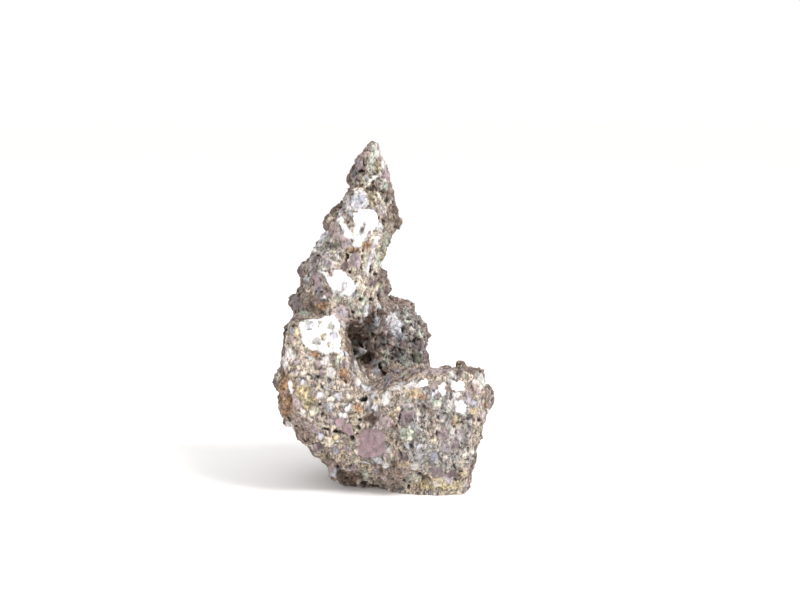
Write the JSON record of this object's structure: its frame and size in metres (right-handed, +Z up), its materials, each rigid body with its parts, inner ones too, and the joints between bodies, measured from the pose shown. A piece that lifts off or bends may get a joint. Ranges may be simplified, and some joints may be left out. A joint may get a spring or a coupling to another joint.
{
  "type": "ibigawa rock",
  "caption": "Weathered conglomerate viewing stone with a tall leaning spire, a broken shoulder, a lower block to one side and a flat foot to stand on.",
  "frame": {"origin": "middle of the stone's box, on the surface that it stands on", "axes": "+Z up along the spire, the broken face with the low block on its right looks along -Y, +X to the right as seen from the front"},
  "size_m": [0.1712, 0.1364, 0.2662],
  "materials": {
    "stone": "matte weathered conglomerate: grey-brown matrix with white, lilac and blue-grey pebbles"
  },
  "bodies": {
    "root": {"rock": "stone"}
  },
  "joints": []
}
